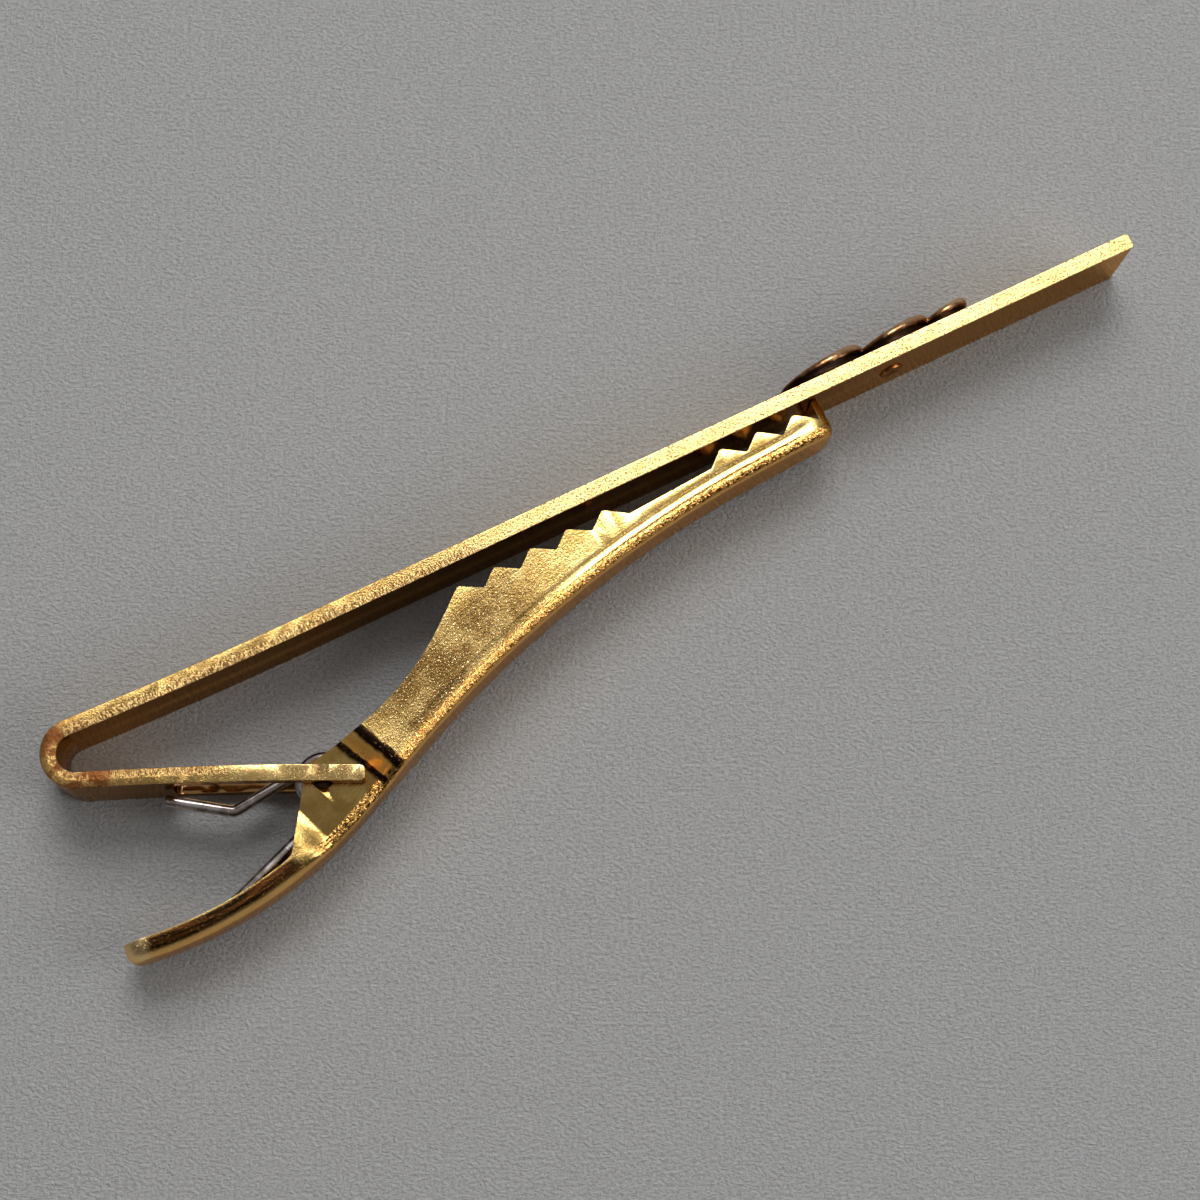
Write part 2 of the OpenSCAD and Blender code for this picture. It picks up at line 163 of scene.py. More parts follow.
def takenUp(blank, weld):
    bm = bmesh.new()
    bm.from_mesh(blank.data)
    bpy.data.objects.remove(blank)
    bmesh.ops.remove_doubles(bm, verts=bm.verts, dist=weld)
    return bm


def sharpEdges(bm, angle):
    found = []
    for edge in bm.edges:
        if len(edge.link_faces) == 2 and edge.calc_face_angle(0) > radians(angle):
            found.append(edge)
    return found


# Blender narrows all bevels of a piece to what its shortest edges allow: to 0.04 or 0.05 mm on the strip,
# and to some 0.0015 mm on the jaw, whose edges stay sharp to the eye
def brokenEdges(bm, edges, width, segments=2):
    bmesh.ops.bevel(bm, geom=edges, offset=width, offset_type="OFFSET", segments=segments, profile=0.5,
                    affect="EDGES", clamp_overlap=True, material=-1)


def slicedAt(bm, point, normal, clearInner=False):  # a cut square to the drawing's plane
    everything = bm.verts[:] + bm.edges[:] + bm.faces[:]
    bmesh.ops.bisect_plane(bm, geom=everything, dist=0.0005, clear_inner=clearInner,
                           plane_co=(point[0], point[1], 0), plane_no=(normal[0], normal[1], 0))


def plainRod(bm, radius, low, high, segments=32):
    bmesh.ops.create_cone(bm, cap_ends=True, segments=segments, radius1=radius, radius2=radius,
                          depth=high - low, matrix=Matrix.Translation((0, 0, (low + high) / 2)))


def sweptTube(bm, path, radii, sides=16, up=Vector((0, 0, 1))):
    ring = None
    for i, (point, radius) in enumerate(zip(path, radii)):
        along = (path[min(i + 1, len(path) - 1)] - path[max(i - 1, 0)]).normalized()
        side = along.cross(up).normalized()
        made = bmesh.ops.create_circle(bm, cap_ends=False, segments=sides, radius=radius)["verts"]
        turn = Matrix((side, along.cross(side), along)).transposed().to_4x4()
        bmesh.ops.transform(bm, matrix=Matrix.Translation(point) @ turn, verts=made)
        loop = list(dict.fromkeys(edge for vert in made for edge in vert.link_edges))
        if ring:
            bmesh.ops.bridge_loops(bm, edges=ring + loop)
        else:
            bmesh.ops.contextual_create(bm, geom=loop)
        ring = loop
    bmesh.ops.contextual_create(bm, geom=ring)


# node tools for the finishes
def link(tree, start, end):
    tree.links.new(start, end)


def nodeAt(tree, kind, **values):
    made = tree.nodes.new(kind)
    for key, value in values.items():
        if key in made.inputs:
            made.inputs[key].default_value = value
        else:
            setattr(made, key, value)
    return made


def newMetal(name, roughness, grazing=(1.0, 1.0, 1.0)):  # grazing: what a slanting view keeps of each colour
    material = bpy.data.materials.new(name)
    material.use_nodes = True
    shader = material.node_tree.nodes["Principled BSDF"]
    shader.inputs["Metallic"].default_value = 1.0
    shader.inputs["Roughness"].default_value = roughness
    shader.inputs["Specular Tint"].default_value = (*grazing, 1.0)
    return material, material.node_tree, shader


def worked(tree, operation, *values):
    made = tree.nodes.new("ShaderNodeMath")
    made.operation = operation
    for slot, value in enumerate(values):
        if isinstance(value, (int, float)):
            made.inputs[slot].default_value = value
        else:
            link(tree, value, made.inputs[slot])
    return made.outputs[0]


def band(tree, value, low, high, start=0.0, end=1.0):
    made = nodeAt(tree, "ShaderNodeMapRange", interpolation_type="SMOOTHSTEP")
    for slot, number in enumerate((low, high, start, end)):
        made.inputs[slot + 1].default_value = number
    link(tree, value, made.inputs[0])
    return made.outputs[0]


def product(tree, *parts):  # a part is a share, a number, or a measure with the limits of its bands
    factors = []
    for part in parts:
        if isinstance(part, tuple):
            factors += [band(tree, part[0], *limits) for limits in part[1:]]
        else:
            factors.append(part)
    total = factors[0]
    for factor in factors[1:]:
        total = worked(tree, "MULTIPLY", total, factor)
    return total


def plus(tree, base, value, amount):
    return worked(tree, "MULTIPLY_ADD", value, amount, base)


def wavered(tree, measure, noise, reach):  # makes a zone's border wander
    return plus(tree, measure, worked(tree, "SUBTRACT", noise, 0.5), reach)


def stretched(tree, vector, by):
    made = nodeAt(tree, "ShaderNodeVectorMath", operation="MULTIPLY")
    link(tree, vector, made.inputs[0])
    made.inputs[1].default_value = by
    return made.outputs[0]


def grain(tree, vector, scale, detail=2.0, roughness=0.5, distortion=0.0):
    made = nodeAt(tree, "ShaderNodeTexNoise", Scale=scale, Detail=detail, Roughness=roughness,
                  Distortion=distortion)
    link(tree, vector, made.inputs["Vector"])
    return made.outputs[0]


def mixed(tree, share, first, second):
    made = nodeAt(tree, "ShaderNodeMix", data_type="RGBA")
    for slot, value in ((0, share), (6, first), (7, second)):
        if isinstance(value, tuple):
            made.inputs[slot].default_value = (*value, 1.0)
        else:
            link(tree, value, made.inputs[slot])
    return made.outputs[2]


def layered(tree, colour, *coats):  # a coat is its share and its tone, laid over all before it
    for share, tone in coats:
        colour = mixed(tree, share, colour, tone)
    return colour


def dressed(tree, shader, colour, height, relief, rough=None):
    link(tree, colour, shader.inputs["Base Color"])
    if rough is not None:
        link(tree, rough, shader.inputs["Roughness"])
    made = nodeAt(tree, "ShaderNodeBump", Strength=1.0, Distance=relief * mm)
    link(tree, height, made.inputs["Height"])
    link(tree, made.outputs[0], shader.inputs["Normal"])


def parted(tree, vector):
    made = nodeAt(tree, "ShaderNodeSeparateXYZ")
    link(tree, vector, made.inputs[0])
    return made.outputs


def flowOf(tree):
    flow = nodeAt(tree, "ShaderNodeAttribute", attribute_name="flow").outputs["Vector"]
    along, depth, height = parted(tree, flow)
    return flow, along, depth, worked(tree, "ABSOLUTE", height)


# plated strip: bright pitted shear on the long edges, torn near the bend, smooth rolled faces
# limits are mm along the strip from the bend, in from its outer face or across it: where a zone starts and
# where it is whole, and at times its share at the two
# of these tones the darker olive near the bend is a painted dark reflection, and the inside and shade tones
# are painted shade
stripLook = {"bright": (0.93, 0.65, 0.27), "deep": (0.84, 0.55, 0.20), "bend": (0.24, 0.09, 0.028),
             "darkReflectionTone": (0.40, 0.25, 0.078), "pit": (0.26, 0.11, 0.03), "inside": (0.53, 0.31, 0.12),
             "shade": (0.17, 0.065, 0.02), "grazing": (0.87, 0.6, 0.37), "relief": 0.02,
             "edgeAcross": (2.38, 2.46),
             "tornDepth": (0.37, 0.47), "tornBar": (24.0, 20.0), "tornArm": (-13.0, -9.0),
             "reflectionDepth": (0.45, 0.37), "reflectionBar": (30.0, 16.0), "reflectionArm": (-13.0, -8.0),
             "stainBar": (1.6, -0.6), "stainArm": (-8.5, -4.5), "reflectionOnArm": (0.0, -4.0),
             "speckleBar": (32.0, 12.0, 0.3, 1.0),
             "coarseBar": (34.0, 14.0, 0.35, 0.9), "coarseArm": (-12.0, -8.0, 0.3, 1.0),
             "insideDepth": (0.66, 0.74), "insideArm": (1.0, -2.0),
             "shadeAcross": (0.0, 0.9), "shadeFar": (46.0, 38.0), "shadeNear": (0.0, 6.0, 0.35, 0.95)}


def makeStripGold():
    look = stripLook
    material, tree, shader = newMetal("stripGold", 0.2, look["grazing"])
    flow, along, depth, across = flowOf(tree)
    fine = grain(tree, flow, 10.0, 3.0, 0.65)
    cloud = grain(tree, flow, 1.1, 2.0)
    cuts = grain(tree, stretched(tree, flow, (17.0, 4.5, 1.0)), 1.0, 3.0, 0.6)  # marks across the thickness
    jag = grain(tree, stretched(tree, flow, (4.5, 0.15, 0.15)), 1.0, 3.0, 0.7)
    stain = grain(tree, stretched(tree, flow, (1.3, 1.0, 0.3)), 1.0, 3.0, 0.6)
    rolled = grain(tree, stretched(tree, flow, (0.12, 3.0, 5.0)), 1.0, 2.0)  # faint lines along the faces
    dots = grain(tree, flow, 10.0, 1.5, 0.5, 0.3)
    onEdge = band(tree, across, *look["edgeAcross"])
    border = wavered(tree, depth, jag, 0.4)
    pits = product(tree, (dots, (0.585, 0.66)), onEdge)
    torn = product(tree, (border, look["tornDepth"]), onEdge, (along, look["tornBar"], look["tornArm"]))
    tornCuts = product(tree, torn, (cuts, (0.55, 0.45, 0.0, 0.9)))
    # painted dark reflection: a mottled darker olive over the outer half of the long edges towards the bend,
    # and over the arm's edges
    paintedDarkReflection = product(tree, (border, look["reflectionDepth"]), (along, look["reflectionBar"], look["reflectionArm"]),
                     (fine, (0.62, 0.4, 0.65, 1.0)))
    armDarkReflection = product(tree, (along, look["reflectionOnArm"]), onEdge, (fine, (0.62, 0.4, 0.0, 0.45)))
    stained = product(tree, (along, look["stainBar"], look["stainArm"]), onEdge,
                      (stain, (0.58, 0.42, 0.15, 1.0)))
    speckle = product(tree, (fine, (0.55, 0.66)), (along, look["speckleBar"]), onEdge, 0.5)
    pitted = worked(tree, "MAXIMUM", speckle, product(tree, pits, 0.75))
    # painted shade: a darker tone over the flat faces of the bar's inside and of the bend and arm, broken a
    # little by the rolling lines, and a still darker painted shade over the inner face up to some 40 mm from
    # the bend, away from its middle line
    onBar, onArm = band(tree, depth, *look["insideDepth"]), band(tree, along, *look["insideArm"])
    inside = product(tree, worked(tree, "MAXIMUM", onBar, onArm), worked(tree, "SUBTRACT", 1.0, onEdge))
    paintedInsideShade = product(tree, inside, (rolled, (0.3, 0.7, 1.0, 0.75)))
    shade = product(tree, inside, (across, look["shadeAcross"]), (along, look["shadeFar"], look["shadeNear"]))
    colour = mixed(tree, band(tree, cloud, 0.35, 0.65, 0.4, 1.0), look["deep"], look["bright"])
    colour = layered(tree, colour, (paintedDarkReflection, look["darkReflectionTone"]), (armDarkReflection, look["darkReflectionTone"]), (tornCuts, look["pit"]),
                     (stained, look["bend"]), (pitted, look["pit"]), (paintedInsideShade, look["inside"]),
                     (shade, look["shade"]))
    rough = plus(tree, band(tree, cloud, 0.3, 0.7, 0.09, 0.13), onEdge, 0.05)
    rough = plus(tree, rough, torn, 0.08)
    height = plus(tree, product(tree, fine, (along, look["coarseBar"], look["coarseArm"])), pits, -0.8)
    height = plus(tree, height, product(tree, torn, worked(tree, "SUBTRACT", cuts, 0.55)), 3.0)
    height = plus(tree, product(tree, height, onEdge), rolled, 0.25)
    dressed(tree, shader, colour, height, look["relief"], rough)
    return material


# stamped jaw: satin pebbled walls, a rough folded ridge along the back, and a dark olive reflection painted
# on the walls behind the teeth
# limits as on the strip: mm past the pin, in from the back or across it; tailEnd and tipEnd count from the
# tail's end
# of these tones some are painted: a dark reflection for the walls and one for the tail and waist, orange
# reflections for the back and the waist, glints, and a highlight for the tail's end
jawLook = {"bright": (0.94, 0.67, 0.25), "deep": (0.78, 0.49, 0.14), "olive": (0.34, 0.19, 0.055),
           "glintTone": (1.0, 0.84, 0.48), "paintedDarkReflection": (0.13, 0.072, 0.020), "tip": (1.0, 0.72, 0.34),
           "ridge": (0.90, 0.46, 0.12), "fleck": (0.24, 0.09, 0.02), "back": (0.95, 0.54, 0.19),
           "tail": (0.22, 0.075, 0.02), "black": (0.018, 0.009, 0.005), "glow": (1.0, 0.5, 0.10),
           "grazing": (0.92, 0.67, 0.43), "relief": 0.03,
           "wallAcross": (1.15, 1.35), "wallDepth": (0.15, 0.4), "backDepth": (0.5, 0.05),
           "ridgeAcross": (1.02, 1.3), "ridgeTop": (0.02, 0.16), "ridgeFoot": (0.66, 0.5),
           "ridgeFrom": (-3.4, -2.6), "fleckFrom": (10.0, 19.0, 0.45, 1.0),
           "patchFrom": (2.8, 5.0, 0.6, 1.0), "patchTo": (18.0, 11.0), "patchDepth": (4.4, 2.7, 0.12, 1.0),
           "tailEnd": (1.0, 1.5), "tailTo": (-3.7, -4.3), "tailTop": (0.2, 0.42), "tailFoot": (0.98, 0.86),
           "tipEnd": (1.5, 0.9), "sootFrom": (-3.2, -2.2), "sootTo": (3.4, 2.4),
           "glowFrom": (1.85, 2.05), "glowTo": (2.85, 2.65), "glowDepth": (0.35, 0.6),
           "nearStripe": ((1.5, 1.72), (2.02, 1.9)), "farStripe": ((2.55, 2.75), (3.3, 3.15)),
           "stripeDepth": (0.1, 0.3),
           "earFrom": (-2.3, -1.8), "earTo": (1.75, 1.5), "earDepth": (3.6, 1.2, 0.45, 1.0),
           "glintFrom": (3.0, 4.5), "smoothWaist": (2.2, 3.6, 0.06, 0.8),
           "pebbleDepth": (3.4, 1.8, 0.6, 1.0), "pebbleTo": (17.0, 11.0, 0.4, 1.0)}


def makeJawGold():
    look = jawLook
    material, tree, shader = newMetal("jawGold", 0.22, look["grazing"])
    flow, along, depth, across = flowOf(tree)
    pastPin = worked(tree, "SUBTRACT", along, pinAlong)
    pastEar = wavered(tree, pastPin, grain(tree, flow, 1.1, 2.0), 0.35)
    cloud = grain(tree, flow, 0.8, 3.0)
    scratch = grain(tree, stretched(tree, flow, (1.2, 7.0, 7.0)), 1.0, 3.0, 0.6, 0.4)
    blobs = grain(tree, stretched(tree, flow, (5.0, 8.0, 8.0)), 1.0, 2.0, 0.6, 0.4)
    drawn = grain(tree, stretched(tree, flow, (0.5, 6.0, 6.0)), 1.0, 3.0, 0.6, 0.3)
    bumps = band(tree, grain(tree, flow, 9.0, 1.0, 0.5), 0.6, 0.72)
    pebble = plus(tree, grain(tree, flow, 8.0, 4.0, 0.7), bumps, 0.4)
    onWall = product(tree, (across, look["wallAcross"]), (depth, look["wallDepth"]))
    onRidge = product(tree, (depth, look["ridgeFoot"], look["ridgeTop"]), (across, look["ridgeAcross"]),
                      (pastPin, look["ridgeFrom"]))
    # painted dark reflection: a clouded dark tone over the walls behind the teeth, strongest towards the back
    wallDarkReflection = product(tree, (pastPin, look["patchTo"], look["patchFrom"]), (depth, look["patchDepth"]), onWall,
                    (cloud, (0.65, 0.4, 0.8, 1.0)))
    # painted reflection: the back of the channel takes a more orange tone
    folded = product(tree, (depth, look["backDepth"]), 0.85)
    # painted dark reflection: a near-black band, streaked along the draw, down the tail a little way in from
    # its back
    tailDarkReflection = product(tree, (pastPin, look["tailTo"]), (along, look["tailEnd"]),
                     (depth, look["tailFoot"], look["tailTop"]), 0.96)
    tailReflectionTone = mixed(tree, band(tree, drawn, 0.42, 0.62), look["black"], look["tail"])
    flecks = product(tree, onRidge, (blobs, (0.50, 0.42)), (pastPin, look["fleckFrom"]))
    soot = product(tree, onRidge, (blobs, (0.53, 0.45)), (pastPin, look["sootTo"], look["sootFrom"]), 0.92)
    # painted reflection: a clouded orange glow on the waist's slope towards the jaw
    glow = product(tree, (pastEar, look["glowTo"], look["glowFrom"]), (depth, look["glowDepth"]))
    clouded = product(tree, glow, (cloud, (0.3, 0.6, 0.95, 0.6)))
    onEar = product(tree, (pastEar, look["earFrom"], look["earTo"]), (scratch, (0.3, 0.65, 0.6, 0.15)),
                    (depth, look["earDepth"]))
    # painted dark reflection: two black stripes across the pinched slopes of the waist
    stripes = [product(tree, (pastEar, *look[stripe])) for stripe in ("farStripe", "nearStripe")]
    waistDarkReflection = product(tree, worked(tree, "MAXIMUM", *stripes), (depth, look["stripeDepth"]))
    specks = product(tree, (grain(tree, flow, 9.0, 1.0, 0.5, 0.4), (0.62, 0.68)), onWall, 0.5)
    # painted glints: bright specks on the walls from the ear on towards the teeth
    paintedGlints = product(tree, (grain(tree, flow, 11.0, 2.0, 0.6), (0.6, 0.68)), onWall,
                     (pastEar, look["glintFrom"]), 0.65)
    # painted highlight: a bright facet at the tail's very end
    tipShare = band(tree, along, *look["tipEnd"])
    colour = mixed(tree, band(tree, cloud, 0.35, 0.65), look["deep"], look["bright"])
    colour = layered(tree, colour, (wallDarkReflection, look["paintedDarkReflection"]), (folded, look["back"]), (tailDarkReflection, tailReflectionTone),
                     (product(tree, onRidge, 0.8), look["ridge"]), (flecks, look["fleck"]),
                     (soot, look["black"]), (clouded, look["glow"]), (onEar, look["olive"]),
                     (waistDarkReflection, look["black"]), (specks, look["olive"]), (paintedGlints, look["glintTone"]),
                     (tipShare, look["tip"]))
    rough = plus(tree, band(tree, cloud, 0.3, 0.7, 0.09, 0.14), onRidge, 0.05)
    rough = plus(tree, plus(tree, rough, tipShare, 0.12), glow, 0.25)
    height = product(tree, pebble, worked(tree, "ADD", onWall, 0.1), (depth, look["pebbleDepth"]),
                     (worked(tree, "ABSOLUTE", pastPin), look["smoothWaist"]), (pastPin, look["pebbleTo"]))
    height = plus(tree, height, product(tree, onRidge, blobs), 1.6)
    height = plus(tree, height, product(tree, scratch, onWall), 0.25)
    dressed(tree, shader, colour, height, look["relief"], rough)
    return material


# drawn spring wire, a little soiled
wireLook = {"bright": (0.60, 0.55, 0.53), "soiled": (0.36, 0.31, 0.28), "roughness": (0.2, 0.32),
            "relief": 0.006}


def makeWireSteel():
    material, tree, shader = newMetal("wireSteel", 0.16)
    flow = flowOf(tree)[0]
    drawn = grain(tree, stretched(tree, flow, (0.35, 6.0, 6.0)), 1.0, 2.0)
    soil = grain(tree, flow, 1.3, 3.0, 0.6)
    colour = mixed(tree, band(tree, soil, 0.42, 0.62), wireLook["soiled"], wireLook["bright"])
    rough = band(tree, soil, 0.3, 0.7, *wireLook["roughness"])
    dressed(tree, shader, colour, drawn, wireLook["relief"], rough)
    return material


# turned pin, painted near black as the shade in its bore, with fine lathe marks
pinLook = {"dark": (0.03, 0.018, 0.01), "bright": (0.14, 0.08, 0.03), "marks": (900.0, 900.0, 9000.0),
           "relief": 0.01}


def makePinBrass():
    material, tree, shader = newMetal("pinInPaintedShade", 0.3)
    place = nodeAt(tree, "ShaderNodeTexCoord").outputs["Object"]
    latheMarks = grain(tree, stretched(tree, place, pinLook["marks"]), 1.0, 2.0)
    # painted shade: both tones are near black, standing in for the shade in the bore
    colour = mixed(tree, band(tree, latheMarks, 0.35, 0.65), pinLook["dark"], pinLook["bright"])
    dressed(tree, shader, colour, latheMarks, pinLook["relief"])
    return material


# copper-toned castings, bright where they stand up, dark in their hollows; limits are mm off the bar's face
copperLook = {"bright": (0.95, 0.66, 0.40), "warm": (0.34, 0.15, 0.055), "hollow": (0.022, 0.012, 0.008),
              "grazing": (0.8, 0.6, 0.45), "relief": 0.012, "brightRise": (0.56, 1.02),
              "hollowRise": (0.68, 0.48), "frontRise": (-0.6, -0.3), "craterRadius": (0.32, 0.2)}


def makeCopperCast():
    look = copperLook
    material, tree, shader = newMetal("copperCast", 0.16, look["grazing"])
    place = nodeAt(tree, "ShaderNodeTexCoord").outputs["Object"]
    seat = (strip["thickness"] + shift[1]) * mm
    rise = product(tree, worked(tree, "SUBTRACT", parted(tree, place)[1], seat), 1 / mm)
    cloud = grain(tree, place, 1500.0, 3.0, 0.6)
    wavering = wavered(tree, rise, cloud, 0.5)
    fromStud = nodeAt(tree, "ShaderNodeVectorMath", operation="DISTANCE")
    link(tree, place, fromStud.inputs[0])
    fromStud.inputs[1].default_value = (Vector((strip["studX"], -0.1, 0)) + shift) * mm
    crater = band(tree, fromStud.outputs["Value"], *[radius * mm for radius in look["craterRadius"]])
    sunken = product(tree, (wavering, look["hollowRise"]), (rise, look["frontRise"]))
    dark = worked(tree, "MAXIMUM", sunken, crater)  # the rest of the peened end stays coppery
    colour = mixed(tree, band(tree, wavering, *look["brightRise"]), look["warm"], look["bright"])
    colour = mixed(tree, dark, colour, look["hollow"])
    rough = plus(tree, band(tree, cloud, 0.3, 0.7, 0.1, 0.2), dark, 0.25)
    dressed(tree, shader, colour, grain(tree, place, 4200.0, 3.0, 0.6), look["relief"], rough)
    return material


# folded strip: one blank bent into a hairpin, slotted for the jaw, drilled for pin and stud
strip = {"length": 60.5, "width": 5.0, "thickness": 0.8, "tipRadius": 0.2, "edgeBreak": 0.1,
         "bowLength": 12.4, "bowRise": 0.3, "bendRadius": 0.93,
         "armAngle": 22.0, "armLength": 13.6, "armTurn": 4.1, "endRadius": 0.28,
         "slotStart": 4.4, "slotWidth": 3.1, "slotCorner": 0.5,
         "pinHole": 0.18, "pinHoleDepth": 0.55, "studX": 46.9, "studHole": 0.53,
         "stakeRadius": 1.2, "stakeHalf": 0.28, "stakeLift": 1.12, "stakeAt": (-0.1, 0.33), "stakeTurn": 60}

# centres and turns of the bow, the bend and the arm
bowAngle = degrees(2 * atan(strip["bowRise"] / strip["bowLength"]))
bowRadius = strip["bowLength"] / sin(radians(bowAngle))
bendRadius, thick = strip["bendRadius"], strip["thickness"]
bowX = bendRadius + thick + bendRadius * sin(radians(bowAngle)) + strip["bowLength"]
bendCentre = Vector((bendRadius + thick, strip["bowRise"] - bendRadius * cos(radians(bowAngle))))
armRadius = strip["armLength"] / radians(strip["armTurn"])
armCentre = bendCentre + (bendRadius + armRadius) * heading(-strip["armAngle"] - 90)
bendTurn = 180 - strip["armAngle"] + bowAngle
bendLength = (bendRadius + thick / 2) * radians(bendTurn)


def armHeading(along):
    return -strip["armAngle"] - strip["armTurn"] * along / strip["armLength"]


def armPoint(along, depth):
    return armCentre + (armRadius - depth) * heading(armHeading(along) + 90)


def stripFlow(point):  # along the strip from the bend, depth from its outer face, height across it
    p = Vector((point[0], point[1]))
    off = p - bendCentre
    turn = (degrees(atan2(off[1], off[0])) - 90 + bowAngle) % 360
    if turn < bendTurn:
        return ((bendRadius + thick / 2) * -radians(turn), bendRadius + thick - off.length, point[2])
    if p[1] > -0.3:
        depth = thick - p[1] if p[0] > bowX else (p - Vector((bowX, bowRadius))).length - bowRadius + thick
        return (off[0], depth, point[2])
    arm = p - armCentre
    swept = 90 - strip["armAngle"] - degrees(atan2(arm[1], arm[0]))
    return (-bendLength - armRadius * radians(swept), arm.length - armRadius + thick, point[2])


def stripOutline():
    armA, armT, end = strip["armAngle"], strip["armTurn"], strip["endRadius"]
    endHeading = armHeading(strip["armLength"])
    bow = (bowX, bowRadius)
    tip = strip["armLength"] + 0.02
    points = arcPoints(bow, bowRadius, -90, -90 - bowAngle, 10)
    points += arcPoints(bendCentre, bendRadius, 90 - bowAngle, 270 - armA, 40, True)
    points += arcPoints(armCentre, armRadius, 90 - armA, 90 - armA - armT, 10, True)
    points += arcPoints(armPoint(tip, end), end, endHeading + 90, endHeading, 6, True)
    points += arcPoints(armPoint(tip, thick - end), end, endHeading, endHeading - 90, 6)
    points += arcPoints(armCentre, armRadius - thick, 90 - armA - armT, 90 - armA, 10, True)
    points += arcPoints(bendCentre, bendRadius + thick, 270 - armA, 90 - bowAngle, 40, True)
    points += arcPoints(bow, bowRadius - thick, -90 - bowAngle, -90, 10, True)
    corner = strip["tipRadius"]
    for height, start in ((thick - corner, 90), (corner, 0)):
        points += arcPoints((strip["length"] - corner, height), corner, start, start - 90, 5)
    return points


def roundedSlot(bm):
    half, corner, reach = strip["slotWidth"] / 2, strip["slotCorner"], strip["armLength"] + 0.4
    outline = arcPoints((corner, half - corner), corner, 180, 90, 5)
    outline += [Vector((reach, half)), Vector((reach, -half))]
    outline += arcPoints((corner, corner - half), corner, 270, 180, 5)
    prism(bm, outline, -1.5, 1.5)
    onArm = Matrix.Translation((*armPoint(strip["slotStart"], thick / 2), 0))
    lay = onArm @ rotation(armHeading(strip["slotStart"]), "Z") @ rotation(90, "X")
    bmesh.ops.transform(bm, matrix=lay, verts=bm.verts)


def stakeMark(bm, side):  # the punch's facet over the pin, on one edge
    plainRod(bm, strip["stakeRadius"], -strip["stakeHalf"], strip["stakeHalf"], 64)
    place = pinAt + turned(strip["stakeAt"], armHeading(strip["armLength"]))
    lay = Matrix.Translation((*place, side * (strip["width"] / 2 + strip["stakeLift"])))
    lay = lay @ rotation(strip["stakeTurn"], "Z") @ rotation(90, "Y")
    bmesh.ops.transform(bm, matrix=lay, verts=bm.verts)


def atHole(point):  # the holes for pin and stud stay sharp
    atPin = abs(point[0] - pinAt[0]) < 0.3 and abs(point[1] - pinAt[1]) < 0.3 and abs(point[2]) > 1.5
    atStud = abs(point[0] - strip["studX"]) < 0.6 and abs(point[2]) < 0.6
    return atPin or atStud


def makeStrip():
    half, reach = strip["width"] / 2, strip["slotWidth"] / 2 + strip["pinHoleDepth"]
    across = Matrix.Translation((strip["studX"], 0, 0)) @ rotation(-90, "X")
    blank = booleaned(tool(prism, stripOutline(), -half, half), tool(roundedSlot))
    blank = booleaned(blank, tool(plainRod, strip["pinHole"], -reach, reach, 16, lay=ontoPin))
    blank = booleaned(blank, tool(plainRod, strip["studHole"], -1, 2, lay=across))
    bm = takenUp(blank, 0.001)
    rims = [edge for edge in sharpEdges(bm, 60) if not atHole((edge.verts[0].co + edge.verts[1].co) / 2)]
    brokenEdges(bm, rims, strip["edgeBreak"], 3)
    blank = asObject(bm, "bevelled")
    for side in (1, -1):
        blank = booleaned(blank, tool(stakeMark, side))
    bm = takenUp(blank, 0.001)
    for i in range(8, 30):  # sliced so that the flow stays true along bar, bend and arm
        slicedAt(bm, (2 * i, 0), (1, 0))
    for i in range(17):
        slicedAt(bm, bendCentre, heading(bendTurn * i / 16 - bowAngle))
    for i in range(14):
        slicedAt(bm, armPoint(i, 0), heading(armHeading(i)))
    return finishPiece(bm, "foldedStrip", "clip", stripGold, "clip_bar", 30, stripFlow)


# jaw lever: one sheet drawn into a channel, pinched at the pin, its walls cut into teeth
lever = {"width": 3.8, "sheet": 0.45, "wallReach": 7.6, "edgeBreak": 0.07, "boreRadius": 0.55,
         "cornerRadius": 0.42, "tailCorner": 0.95, "noseRadius": 0.55, "endRadius": 1.2,
         "tailRadius": 22.4, "tailHeight": 1.0, "tailReach": 12.25,
         "backDrop": 2.72, "straight": 4.0, "jawReach": 30.7, "noseDrop": 1.98, "bendShare": 0.37,
         "earRadius": 0.92, "throatAngle": 57, "throatRadius": 0.9,
         "neckAngle": 12, "neckLength": 2.4, "rampAngle": 40, "rampRadius": 14.5,
         "waistWidth": 2.9, "waistJaw": 1.6, "waistJawSlope": 1.5, "waistTail": 2.0, "waistTailSlope": 1.6,
         "pitch": 2.03, "toothHeight": 0.7, "steepShare": 0.37, "tipShare": 0.1,
         "rearTeeth": 5, "rearLast": 18.1, "rearGap": 0.67, "rearSlope": 2.8,
         "frontTeeth": 3, "frontGap": 0.37, "lipGap": 0.08, "lipRoom": 0.03,
         "bead": 0.03, "hollow": 0.022, "groove": 0.075,
         "grooveShape": ((0.7, 0), (0.6, 0.35), (0.53, 0.8), (0.46, 1), (0.36, 0.82), (0.24, 0.5),
                         (0.12, 0.2))}

# the back's line: a curve to the pin, a straight, a bend with its own radius and a run to the nose
tailMid = pinAt + turned((0, lever["tailRadius"] - lever["backDrop"]), leverAngle)
tailX, noseX = pinAt[0] - lever["tailReach"], pinAt[0] + lever["jawReach"]
bendHalf = lever["jawReach"] * lever["bendShare"]
bendAt = pinAt + turned((lever["straight"] + bendHalf, -lever["backDrop"]), leverAngle)
toNose = Vector((noseX, -lever["noseDrop"])) - bendAt
endAngle = degrees(atan2(toNose[1], toNose[0]))
jawTurn = leverAngle - endAngle
jawRadius = bendHalf / tan(radians(jawTurn) / 2)
jawCentre = Vector((lever["straight"], -lever["backDrop"] - jawRadius))
tailTurn = leverAngle + degrees(asin((tailMid[0] - tailX) / lever["tailRadius"]))
pinAlong = lever["tailRadius"] * radians(tailTurn)
bendAlong = pinAlong + lever["straight"]
